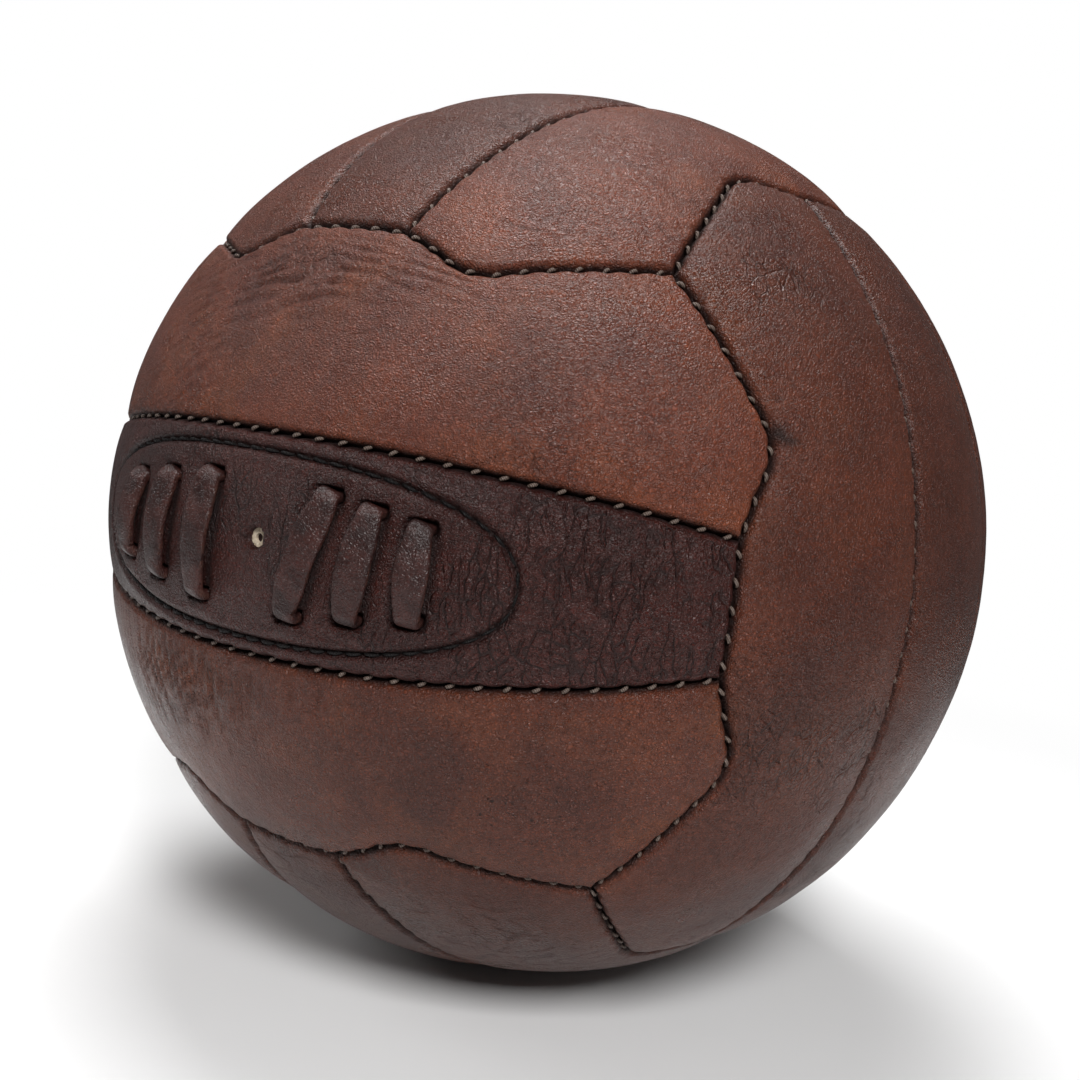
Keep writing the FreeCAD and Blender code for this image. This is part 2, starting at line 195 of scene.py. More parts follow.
def arc(points):
    return np.concatenate([[0], np.cumsum(np.linalg.norm(np.diff(points, axis=0), axis=1))])


def at_shares(points, shares):
    s = arc(points)
    return unit(np.stack([np.interp(shares * s[-1], s, points[:, k]) for k in range(3)], -1))


def coons(sides, a, b):
    """Directions over a four-sided patch of the ball. a and b are shares along and across."""
    bottom, right, top, left = (np.concatenate(runs) for runs in sides)
    lo, hi = at_shares(bottom, a)[None], at_shares(top, a)[None]
    le, ri = at_shares(left, b)[:, None], at_shares(right, b)[:, None]
    a, b = a[None, :, None], b[:, None, None]
    corners = (
        (1 - a) * (1 - b) * lo[:, :1] + a * (1 - b) * lo[:, -1:]
        + (1 - a) * b * hi[:, :1] + a * b * hi[:, -1:]
    )
    return unit((1 - b) * lo + b * hi + (1 - a) * le + a * ri - corners)


def shares(n, crowd):
    """n + 1 shares from 0 to 1, closer together near both ends."""
    s = np.linspace(0, 1, n + 1)
    return s - crowd / (2 * math.pi) * np.sin(2 * math.pi * s)


def seam_distance(directions, sides):
    """For each direction: mm to the nearest seam, and the phase there; its halves are stitches."""
    best = np.full(len(directions), 1e9)
    phase = np.zeros(len(directions))
    for run in (r for side in sides for r in side):
        s = arc(run) * BALL_R
        count = round(s[-1] / STITCH_PITCH)
        near = np.argmax(directions @ run.T, axis=1)
        for first in (np.maximum(near - 1, 0), np.minimum(near, len(run) - 2)):
            p, step = run[first], run[first + 1] - run[first]
            t = np.clip(np.sum((directions - p) * step, 1) / np.sum(step * step, 1), 0, 1)
            d = np.linalg.norm(directions - p - step * t[:, None], axis=1) * BALL_R
            along = s[first] + t * (s[first + 1] - s[first])
            closer = d < best
            best = np.where(closer, d, best)
            phase = np.where(closer, along * count / s[-1], phase)
    return best, phase


def face_matrix(face, sign=1):
    """Rows that carry front directions to a face. A sign of -1 turns them half round first."""
    normal, along, across = (np.array(v, float) for v in FACES[face][:3])
    return np.stack([along * sign, -normal, across * sign])


# ---- mesh helpers


def add_mesh(name, points, faces, material, attributes=None, replaces=()):
    """A smooth-shaded piece that rides on the ball. Points are in mm."""
    mesh = bpy.data.meshes.new(name)
    mesh.from_pydata((np.asarray(points) * MM).tolist(), [], faces)
    mesh.polygons.foreach_set("use_smooth", np.ones(len(mesh.polygons), bool))
    for key, values in (attributes or {}).items():
        layer = mesh.attributes.new(key, "FLOAT", "POINT")
        layer.data.foreach_set("value", np.asarray(values, np.float32))
    mesh.materials.append(material)
    mesh.validate()
    piece = bpy.data.objects.new(name, mesh)
    bpy.context.scene.collection.objects.link(piece)
    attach(piece, BODY)
    if replaces:
        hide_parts(*replaces)
    return piece


def tube(path, frames, ring):
    """Points and faces of a closed tube: ring is (n, 2) offsets along each point's two frame axes,
    scaled per path point if it has one more dimension. The ends are closed with one face each."""
    path, (wide, thick) = np.asarray(path), frames
    ring = np.broadcast_to(ring, (len(path), *np.shape(ring)[-2:]))
    n = ring.shape[1]
    points = path[:, None] + wide[:, None] * ring[..., :1] + thick[:, None] * ring[..., 1:]
    faces = [
        (i * n + k, i * n + (k + 1) % n, (i + 1) * n + (k + 1) % n, (i + 1) * n + k)
        for i in range(len(path) - 1) for k in range(n)
    ]
    last = (len(path) - 1) * n
    faces += [tuple(range(n))[::-1], tuple(last + k for k in range(n))]
    return points.reshape(-1, 3), faces


def joined(parts):
    points, faces, at = [], [], 0
    for p, f in parts:
        points.append(p)
        faces += [tuple(at + k for k in face) for face in f]
        at += len(p)
    return np.concatenate(points), faces


# ---- the laces' geometry, in mm and degrees, shared by the laces and the panel they go through

LACE_WIDTH, LACE_THICK = 6.6, 1.9
LACE_CROWN = 1.05  # how far a bar's middle stands above its ends
LACE_ROLL = 0.30  # the most a bar turns about its own length, in radians
LACE_PINCH = 0.24  # how much narrower a lace is where it goes through a slot
LACE_BEND = 2.0
LACE_OUT_R = BALL_R + 0.75
LACE_IN_R = 105.6
LACE_TAIL = 7.0
LACE_SQUARENESS = 4.6, 3.0  # powers of the cross-section's superellipse, across and through
BAR_LEAN = {"lace_left": (0.9, 0.5, 0.3), "lace_right": (1.7, 0.7, 0.15)}


def lace_path(name):
    """(along, up, radius, whether it shows) for one lace, from tail to tail. Bars lean a little."""
    bars, leans = LACE_BARS[name], BAR_LEAN[name]
    out, under = math.degrees(LACE_BEND / LACE_OUT_R), math.degrees(LACE_BEND / LACE_IN_R)
    tail = math.degrees(LACE_TAIL / LACE_IN_R)
    rows = [(bars[0][0], bars[0][1] - under - tail, LACE_IN_R, 0)]

    def turn(start, along, up, reach, radius, count, on_bar):
        for a in np.radians(np.linspace(start, start + 90, count)):
            rows.append((along, up + reach * math.cos(a), radius + LACE_BEND * math.sin(a), on_bar))

    for k, ((along, half), lean) in enumerate(zip(bars, leans)):
        turn(-90, along + lean, half - under, under, LACE_IN_R + LACE_BEND, 7, 0)
        turn(0, along + lean, half - out, out, LACE_OUT_R - LACE_BEND, 9, 1)
        for s in np.linspace(0, 1, 22)[1:-1]:
            crown = LACE_CROWN * math.sin(math.pi * s)
            side = 1 - 2 * s
            rows.append((along + lean * side, (half - out) * side, LACE_OUT_R + crown, 1))
        turn(90, along - lean, out - half, out, LACE_OUT_R - LACE_BEND, 9, 1)
        turn(180, along - lean, under - half, under, LACE_IN_R + LACE_BEND, 7, 0)
        if k + 1 < len(bars):
            (next_along, next_half), next_lean = bars[k + 1], leans[k + 1]
            start, end = along - lean, next_along + next_lean
            for s in np.linspace(0, 1, 16)[1:-1]:
                eased = s * s * (3 - 2 * s)
                up = (under - half) * (1 - s) + (next_half - under) * s
                rows.append((start + (end - start) * eased, up, LACE_IN_R, 0))
    along, half = bars[-1]
    rows.append((along - leans[-1], under - half + tail, LACE_IN_R, 0))
    return np.array(rows)


def slot_centres():
    """(along, up, which way the bar lies) of the twelve lace slots."""
    for name, bars in LACE_BARS.items():
        for (along, half), lean in zip(bars, BAR_LEAN[name]):
            yield along + lean, half, 1
            yield along - lean, -half, -1


def oval_points(n=720):
    angle = np.linspace(0, 2 * math.pi, n + 1)
    c, s = np.cos(angle), np.sin(angle)
    along = np.copysign(abs(c) ** (2 / OVAL_POWER), c) * OVAL_LONG
    up = np.copysign(abs(s) ** (2 / OVAL_POWER), s) * OVAL_HIGH
    return on_front(along, up)


def evenly(points, count):
    """Points and travel directions at the middle of count equal lengths."""
    s = arc(points)
    at = (np.arange(count) + 0.5) * s[-1] / count
    middle = at_shares(points, at / s[-1])
    i = np.clip(np.searchsorted(s, at) - 1, 0, len(points) - 2)
    return middle, unit(points[i + 1] - points[i])


# ---- panels


def edge_drop(d, phase):
    """How far the leather lies below the ball at d mm from a seam."""
    stitch = np.cos(2 * math.pi * (phase - 0.5))
    tug = (0.5 + 0.5 * stitch) ** 2
    t = np.clip(1 - (d - 0.35 * tug) / ROLL_WIDTH, 0, 1)
    roll = ROLL_DEPTH * (1 - np.sqrt(np.clip(1 - t**1.8, 0, 1)))
    scallop = 0.12 * stitch * np.exp(-d / 2.0)
    return roll + scallop + PILLOW_DEPTH * np.exp(-d / PILLOW_REACH)


def folds(p, d, phase, seed):
    """Soft unevenness, and puckers that run in from the seams. p is in mm."""
    lumps = 0.30 * layers(p / 34, seed, 2) + 0.10 * noise(p / 9, seed + 5)
    along = phase * STITCH_PITCH
    q = np.stack([along / 3.1, d / 14.0, np.full_like(d, seed * 3.7)], -1)
    puckers = 0.24 * np.abs(noise(q, seed + 9)) * ramp(d, 0.8, 3.0) * np.exp(-d / 8.0)
    return lumps - puckers


def crease_field(u, v, centre, size, angle, spacing, seed, bend):
    """Near-parallel sharp creases in a soft-edged oval patch, in degrees on the front's map."""
    du, dv = u - centre[0], v - centre[1]
    mask = np.exp(-((du / size[0]) ** 2) - ((dv / size[1]) ** 2))
    c, s = math.cos(math.radians(angle)), math.sin(math.radians(angle))
    across = -s * du + c * dv + bend * (c * du + s * dv) ** 2
    along = c * du + s * dv
    q = np.stack([along / 8.0, across / 5.0, np.full_like(u, seed)], -1)
    wander = across / spacing + 1.1 * noise(q, seed)
    line = (0.5 + 0.5 * np.cos(2 * math.pi * wander)) ** 2
    broken = ramp(noise(np.stack([along / 4.5, across / 1.6, u * 0], -1), seed + 3), -0.35, 0.10)
    return mask * broken * line


# panel name: (lightness, redness, orange burnish, greyness)
PANEL_LOOKS = {
    "front_upper": (1.10, 0.75, 0.75, 0.0),
    "front_middle": (0.55, 0.2, 0.0, 0.0),
    "front_lower": (0.80, 0.8, 0.9, 0.0),
    "right_front": (0.82, 0.5, 0.55, 0.1),
    "right_middle": (0.78, 0.3, 0.2, 0.4),
    "right_rear": (0.85, 0.4, 0.3, 0.2),
    "top_left": (1.05, 0.5, 0.4, 0.3),
    "top_middle": (0.85, 0.3, 0.15, 0.3),
    "top_right": (1.12, 0.55, 0.5, 0.2),
    "left_front": (0.9, 0.5, 0.4, 0.1),
    "left_middle": (0.75, 0.4, 0.3, 0.1),
    "left_rear": (0.95, 0.6, 0.6, 0.0),
    "back_upper": (0.95, 0.6, 0.6, 0.0),
    "back_middle": (0.7, 0.4, 0.3, 0.0),
    "back_lower": (0.9, 0.7, 0.7, 0.0),
    "bottom_left": (0.8, 0.4, 0.3, 0.1),
    "bottom_middle": (0.72, 0.4, 0.3, 0.1),
    "bottom_right": (0.72, 0.45, 0.35, 0.0),
}

# panel name: patches of creases, each (centre, size, angle, spacing, seed, bend, depth, painted shade in the
# creases)
CREASES = {
    "front_upper": [
        ((-6, 28), (14, 6), 12, 1.7, 11, 0.004, 0.75, 0.25),
        ((8, 31), (16, 4), -8, 1.4, 12, 0.0, 0.40, 0.20),
        ((-16, 19), (8, 7), 25, 1.5, 14, 0.0, 0.50, 0.15),
    ],
    "front_lower": [
        ((-12, -17), (13, 6), 97, 1.5, 21, 0.010, 0.80, 0.12),
        ((4, -14.5), (12, 3), 84, 1.7, 22, 0.0, 0.45, 0.10),
    ],
    "front_middle": [
        ((40, 1), (8, 6), 38, 2.0, 31, 0.0, 0.20, 0.45),
        ((39, 0), (8, 6), -52, 2.4, 33, 0.0, 0.20, 0.45),
        ((2.2, 0.8), (7, 6), 70, 1.7, 34, 0.0, 0.10, 0.20),
    ],
}

# a patch of a mark is (strength, (along, width), (up, width)), in degrees on the front's map
ALL_ROUND = (0, math.inf)
# panel name: (least amount of cracks, share kept of the wandering amount, patches with more)
WRINKLES = {
    "front_middle": (0.35, 0.4, [
        (1.25, (42, 12), ALL_ROUND), (1.1, (27, 5.5), (-2, 9)), (0.9, (-3, 8), (3, 6)),
    ]),
    "front_upper": (0.0, 0.5, [(0.6, (31, 9), (13, 4)), (0.6, (0, 16), (30, 5))]),
    "front_lower": (0.0, 0.4, [(0.5, (-12, 14), (-18, 7))]),
    "right_front": (0.0, 0.6, [(0.65, ALL_ROUND, (-15, 12)), (0.6, (61, 10), (36, 8))]),
}
MOST_WRINKLED = 1.25
PORES = {"front_lower": [(1.2, (32, 11), (-24, 7))]}
STAINS = {"right_front": [(0.90, (56.7, 1.2), (18.4, 1.0)), (0.72, (58.3, 1.3), (17.6, 0.6))]}


def patches(rows, u, v):
    """The strength of each patch at every point."""
    return [strength * bump_at(u, *along) * bump_at(v, *up) for strength, along, up in rows]


def front_marks(name, u, v):
    """The front's own creases: (depth in mm, painted shade in the creases)."""
    depth, dark = np.zeros_like(u), np.zeros_like(u)
    for *where, deep, shade in CREASES.get(name, ()):
        lines = crease_field(u, v, *where)
        # the second sum is painted shade along the crease lines
        depth, dark = depth + deep * lines, dark + shade * lines
    return depth, dark


def other_marks(p, d, seed):
    """Creases on a panel that the front's map doesn't cover: broken wrinkles in a few patches, with painted
    shade along them.
    """
    q = p / 5.2 + 0.8 * np.stack([noise(p / 13, seed + k) for k in range(3)], -1)
    q = q * np.array([0.55, 1.0, 1.3])
    line = 1 - ramp(np.abs(noise(q, seed + 20)), 0.0, 0.055)
    patch = ramp(layers(p / 42, seed + 30, 2), 0.05, 0.4)
    amount = line * patch * ramp(d, 2.0, 5.0)
    # depth in mm, and painted shade along the wrinkles
    return 0.13 * amount, 0.35 * amount


SLOT_DEPTH, SLOT_HALF_WIDTH = 2.45, 3.4
VALVE_DEPTH, VALVE_HOLE_R = 2.7, 1.9
OVAL_GROOVE, OVAL_HOLE = 1.0, 0.6


def degrees_to_mm(angle):
    return angle * math.radians(1) * BALL_R


def cut_slots(u, v, drop, dark):
    """Sinks the panel where the lace goes through it, with a lip on the outer side of each slot, and paints
    shade into each slot, round it and beside each bar.
    """
    for along, up, way in slot_centres():
        x = degrees_to_mm(u - along) * np.cos(np.radians(v))
        y = degrees_to_mm(v - up) * way
        side = ramp(np.abs(x), SLOT_HALF_WIDTH, 2.6)
        hole = side * ramp(y, -2.0, -1.2) * ramp(y, 1.9, 1.2)
        drop = np.maximum(drop, SLOT_DEPTH * hole)
        lip = bump_at(y, 3.1, 0.9) * ramp(np.abs(x), 4.6, 2.4)
        nick = ramp(np.abs(np.abs(x) - SLOT_HALF_WIDTH), 0.5, 0.1) * ramp(np.abs(y), 1.0, 0.3)
        drop = drop - 0.30 * lip + 0.6 * nick
        pull = bump_at(x, 0, 4.6) * bump_at(y, -3.4, 2.6)
        drop = drop + 0.28 * pull
        # painted shade: each slot and the nicks at its ends darkened towards black
        dark = np.maximum(dark, np.maximum(hole, 0.85 * nick))
        # painted shade round each slot, where the lace covers the leather
        dark = np.maximum(dark, 0.35 * bump_at(x, 0, 5.2) * bump_at(y, 0.5, 3.4))
    for name, bars in LACE_BARS.items():
        for (along, half), lean in zip(bars, BAR_LEAN[name]):
            x = degrees_to_mm(u - along - lean * v / half)
            # painted shadow beside each bar: a dark band along both its sides, over a slight sink
            beside = bump_at(np.abs(x), 2.7, 1.5) * ramp(np.abs(v), half + 0.6, half - 0.6)
            drop, dark = drop + 0.5 * beside, np.maximum(dark, 0.95 * beside)
    return drop, dark


def cut_valve(u, v, drop, dark):
    """The hole over the needle valve, with the short tear at its left; both are darkened with painted shade."""
    x, y = degrees_to_mm(u - VALVE_ALONG), degrees_to_mm(v - VALVE_UP)
    r = np.hypot(x, y)
    hole = ramp(r, 2.35, VALVE_HOLE_R)
    drop = np.maximum(drop, VALVE_DEPTH * hole) + 0.18 * bump_at(r, 3.0, 1.1) * (1 - hole)
    tear = bump_at(y + 0.35 * np.sin(x * 1.7), 0, 0.42) * ramp(x, -5.6, -3.4) * ramp(x, -1.6, -2.2)
    # painted shade in the valve's hole and along the tear
    return drop + 0.5 * tear, np.maximum(dark, np.maximum(0.55 * hole, 0.7 * tear))


def cut_oval(directions, drop, dark):
    """The shallow groove of the oval stitching, with a needle hole at each stitch's end. The groove is darkened
    with painted shade, most at the holes.
    """
    line = oval_points()
    near = np.argmax(directions @ line.T, axis=1)
    d = np.linalg.norm(directions - line[near], axis=1) * BALL_R
    s = arc(line) * BALL_R
    count = round(s[-1] / OVAL_PITCH)
    hole = np.cos(2 * math.pi * s[near] * count / s[-1]) * 0.5 + 0.5
    groove = bump_at(d, 0, 0.75)
    drop = drop + OVAL_GROOVE * groove + OVAL_HOLE * hole**6 * bump_at(d, 0, 0.6)
    drop = drop - 0.16 * bump_at(d, 1.9, 1.1)
    # painted shade in the groove and its needle holes
    return drop, np.maximum(dark, bump_at(d, 0, 0.95) * (0.75 + 0.25 * hole**3))


def wrinkle_mask(name, u, v, d, p, seed):
    """Where the grain is cracked: 0 for smooth leather, 1 for a close network."""
    least, share, rows = WRINKLES.get(name, (0.0, 1.0, ()))
    amount = least + share * 0.65 * ramp(layers(p / 38, seed + 80, 2), 0.0, 0.5)
    for strength in patches(rows, u, v):
        amount = np.maximum(amount, strength)
    return np.clip(amount * ramp(d, 0.5, 2.5), 0, MOST_WRINKLED)


def panel_surface(name, directions, sides, matrix, seed):
    """Heights in mm and the material's attributes for a panel's outer face."""
    d, phase = seam_distance(directions, sides)
    placed = directions @ matrix
    p = placed * BALL_R
    u = np.degrees(np.arctan2(placed[:, 0], -placed[:, 1]))
    v = np.degrees(np.arcsin(np.clip(placed[:, 2], -1, 1)))
    drop = edge_drop(d, phase) - folds(p, d, phase, seed)
    if name.startswith("front"):
        depth, dark = front_marks(name, u, v)
    else:
        depth, dark = other_marks(p, d, seed)
    drop = drop + depth
    if name == "front_middle":
        drop, dark = cut_oval(directions, drop, dark)
        drop, dark = cut_slots(u, v, drop, dark)
        drop, dark = cut_valve(u, v, drop, dark)
        drop = np.where(d > ROLL_WIDTH + 0.9, np.minimum(drop, DEEPEST_CUT), drop)
    light, red, burnish, grey = PANEL_LOOKS[name]
    wash = layers(p / 40, seed + 40, 3)
    mottled = layers(p / 13, seed + 50, 3)
    near_seam = np.exp(-((d - 4.5) / 5.0) ** 2)
    patchy = layers(p / 30, seed + 70, 2)
    attributes = {
        "edge": d,
        # dark: painted shade from the creases, slots, valve, tear, oval groove and beside the laces, plus real
        # stains
        "dark": np.clip(np.clip(dark, 0, 1) + sum(patches(STAINS.get(name, ()), u, v)), 0, 1),
        "light": light * (1 + 0.26 * wash + 0.14 * mottled),
        "red": np.clip(red + 0.6 * layers(p / 30, seed + 60, 2), 0, 1),
        "burn": np.clip(burnish * (0.35 * near_seam + 0.30 + 0.9 * patchy), 0, 1),
        "grey": np.clip(grey + 0.4 * wash, 0, 1),
        "wrinkle": wrinkle_mask(name, u, v, d, p, seed),
        "pores": sum(patches(PORES.get(name, ()), u, v), np.zeros_like(u)),
    }
    return BALL_R - drop, attributes


def grid_faces(rows, cols, start=0):
    """Quads of a grid of points, seen from outside."""
    i, j = np.meshgrid(np.arange(rows - 1), np.arange(cols - 1), indexing="ij")
    a = (start + i * cols + j).ravel()
    return np.stack([a, a + 1, a + cols + 1, a + cols], -1)


def border(rows, cols, start=0):
    """Indices round a grid, counter-clockwise seen from outside."""
    grid = start + np.arange(rows * cols).reshape(rows, cols)
    return np.concatenate([grid[0, :-1], grid[:-1, -1], grid[-1, :0:-1], grid[:0:-1, 0]])


COARSE = 4  # cells of the face to one of the flesh side
FLESH_INSET = 0.018, 0.075  # how far the flesh side is set in, along and across
CROWD = 0.55, 0.6  # how much closer the grid is near the seams, along and across


def panel(face, part, sign, materials, sides, across, along, seed):
    """One leather panel, closed: its face, a flange folded down all round, and its flesh side."""
    short = f"{face}_{part}"
    matrix = face_matrix(face, sign)
    a, b = shares(along, CROWD[0]), shares(across, CROWD[1])
    outer = coons(sides, a, b).reshape(-1, 3)
    radius, attributes = panel_surface(short, outer, sides, matrix, seed)
    rows, cols = len(b), len(a)
    rim = border(rows, cols)

    # the flesh side is coarser, and set in from the flange
    a_in, b_in = (0.5 + (s[::COARSE] - 0.5) * (1 - k) for s, k in zip((a, b), FLESH_INSET))
    inner = coons(sides, a_in, b_in)
    inner_r = np.full(inner.shape[:2], SKIN_IN_R)
    inner_r[0] = inner_r[-1] = inner_r[:, 0] = inner_r[:, -1] = FLANGE_R
    flesh = (inner * inner_r[..., None]).reshape(-1, 3)
    points = np.concatenate([outer * radius[:, None], outer[rim] * FLANGE_R, flesh])

    n, m = len(outer), len(rim)
    foot = n + np.arange(m)
    faces = grid_faces(rows, cols).tolist()
    faces += [(rim[k], foot[k], foot[(k + 1) % m], rim[(k + 1) % m]) for k in range(m)]
    inner_rows, inner_cols = inner.shape[:2]
    inner_rim = border(inner_rows, inner_cols, n + m)
    for k in range(len(inner_rim)):
        run = [foot[(k * COARSE + i) % m] for i in range(COARSE + 1)]
        faces.append((*run[::-1], inner_rim[k], inner_rim[(k + 1) % len(inner_rim)]))
    faces += grid_faces(inner_rows, inner_cols, n + m)[:, ::-1].tolist()

    rest = len(points) - n
    full = {
        key: np.append(values, np.full(rest, values.mean())) for key, values in attributes.items()
    }
    # edge 0 gives the flange and flesh side the full painted shade of the seam groove
    full["edge"][n:] = 0
    laced = short == "front_middle"
    piece = add_mesh(
        short + "_leather", points @ matrix, faces, materials["laced" if laced else "panel"], full,
        [short + "_panel"],
    )


# ---- sewing and laces

# a stitch is (length, radius, its middle's depth under the ball's surface, how far its ends sink)
SEAM_STITCH = (2.1, 0.37, 1.85, 0.6)
SEAM_LEAN, SEAM_LIFT = (0.85, 1.25), (-0.12, 0.08)
OVAL_STITCH = (3.6, 0.31, 0.78, 0.8)
OVAL_LEAN, OVAL_LIFT = (0.02, 0.14), (-0.05, 0.05)


def stitch(centre, along, sizes, lift, lean):
    """A short waxed thread, arched and a little thicker at its middle. It lies across the direction
    along, turned towards it by lean radians."""
    length, radius, sunk, sag = sizes
    across = np.cross(centre, along)
    across = unit(across * math.cos(lean) + along * math.sin(lean))
    t = np.array([-1.0, -0.93, -0.75, -0.45, 0.0, 0.45, 0.75, 0.93, 1.0])
    height = BALL_R - sunk + lift - sag * t[:, None] ** 2
    path = centre * height + across * (t[:, None] * length / 2)
    size = radius * np.sqrt(np.clip(1.0 - np.abs(t) ** 5, 0.04, 1)) * (1 + 0.12 * (1 - t * t))
    angle = np.linspace(0, 2 * math.pi, 8, endpoint=False)
    ring = np.stack([np.cos(angle), np.sin(angle)], -1)[None] * size[:, None, None]
    side = np.cross(across, centre)
    return tube(path, (np.tile(side, (len(t), 1)), np.tile(centre, (len(t), 1))), ring)


def seam_stitches(seams, matrices, seed):
    draw = np.random.default_rng(seed)
    parts = []
    for matrix in matrices:
        for seam in seams:
            s = arc(seam)[-1] * BALL_R
            middles, alongs = evenly(seam, round(s / STITCH_PITCH))
            for centre, along in zip(middles @ matrix, alongs @ matrix):
                lean, lift = draw.uniform(*SEAM_LEAN), draw.uniform(*SEAM_LIFT)
                parts.append(stitch(centre, along, SEAM_STITCH, lift, lean))
    return joined(parts)


def add_sewing(materials):
    seam, ends = strip_seam(), end_seams()
    for k, face in enumerate(FACES):
        matrices = [face_matrix(face, 1), face_matrix(face, -1)]
        for kind, seams in (("strip", [seam]), ("end", ends)):
            points, faces = seam_stitches(seams, matrices, 100 + 2 * k + (kind == "end"))
            add_mesh(f"{face}_{kind}_seam_stitches", points, faces, materials["thread"], None,
                     [f"{face}_{kind}_seam_thread"])
    loop = oval_points()
    middles, alongs = evenly(loop, round(arc(loop)[-1] * BALL_R / OVAL_PITCH))
    draw = np.random.default_rng(5)
    parts = []
    for centre, along in zip(middles, alongs):
        lift, lean = draw.uniform(*OVAL_LIFT), draw.uniform(*OVAL_LEAN)
        parts.append(stitch(centre, np.cross(along, centre), OVAL_STITCH, lift, lean))
    points, faces = joined(parts)
    add_mesh("patch_stitches", points, faces, materials["black_thread"], None,
             ["patch_thread"])


def add_laces(materials):
    angle = np.linspace(0, 2 * math.pi, 28, endpoint=False)
    c, s = np.cos(angle), np.sin(angle)
    across_power, through_power = (2 / power for power in LACE_SQUARENESS)
    slots = np.array([(along, up) for along, up, _ in slot_centres()])
    for k, name in enumerate(LACE_BARS):
        rows = lace_path(name)
        centre = on_front(rows[:, 0], rows[:, 1])
        path = centre * rows[:, 2:3]
        travel = np.gradient(path, axis=0)
        a = np.radians(rows[:, 0])
        wide = np.stack([np.cos(a), np.sin(a), 0 * a], -1)
        shared = np.sum(wide * travel, 1, keepdims=True) / np.sum(travel**2, 1, keepdims=True)
        wide = unit(wide - travel * shared)
        thick = unit(np.cross(wide, travel))
        turn = LACE_ROLL * rows[:, 3:4] * np.clip(0.35 + rows[:, 1:2] / 8, -0.4, 1.2)
        cos, sin = np.cos(turn), np.sin(turn)
        wide, thick = wide * cos + thick * sin, thick * cos - wide * sin
        near = np.min(np.hypot(rows[:, :1] - slots[:, 0], rows[:, 1:2] - slots[:, 1]), axis=1)
        pinch = np.exp(-((near / 2.3) ** 2))
        width = LACE_WIDTH / 2 * (1 + 0.12 * noise(path / 6.0, 60 + k)) * (1 - LACE_PINCH * pinch)
        depth = LACE_THICK / 2 * (1 + 0.14 * noise(path / 4.0, 70 + k)) * (1 + 0.25 * pinch)
        ring = np.stack([
            np.copysign(np.abs(c) ** across_power, c)[None] * width[:, None],
            np.copysign(np.abs(s) ** through_power, s)[None] * depth[:, None],
        ], -1)
        points, faces = tube(path, (wide, thick), ring)
        attributes = {
            "across": np.abs(np.tile(c, len(path))),
            # dark marks the runs under the panel, which get painted shade
            "dark": np.repeat(1 - rows[:, 3], len(c)),
        }
        add_mesh(name + "_thong", points, faces, materials["lace"], attributes,
                 [name])


# ---- materials


